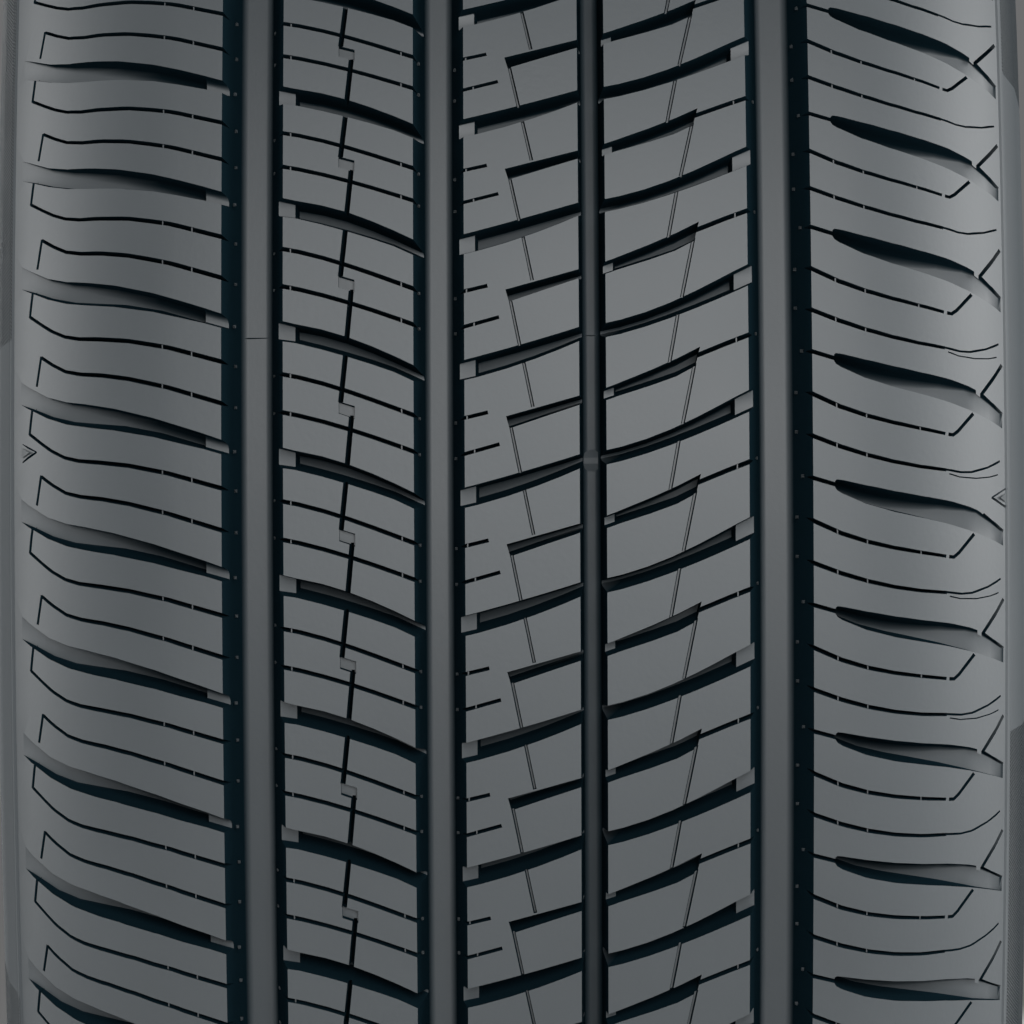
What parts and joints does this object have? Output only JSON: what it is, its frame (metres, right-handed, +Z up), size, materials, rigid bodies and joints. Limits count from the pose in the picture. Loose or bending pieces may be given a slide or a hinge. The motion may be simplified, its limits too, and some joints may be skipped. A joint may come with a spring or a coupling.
{
  "type": "car tyre",
  "caption": "Passenger car tyre with an asymmetric summer tread of grooved ribs and slotted shoulders, hollow inside, with bead seats for a rim.",
  "frame": {"origin": "centre of the wheel, on the spin axis midway between the two beads", "axes": "+Y along the spin axis, +Z up, with the tyre standing on its tread"},
  "size_m": [0.632, 0.214, 0.6319],
  "materials": {
    "tyre_rubber": "matt moulded rubber"
  },
  "bodies": {
    "root": {"tyre": "tyre_rubber"}
  },
  "joints": []
}
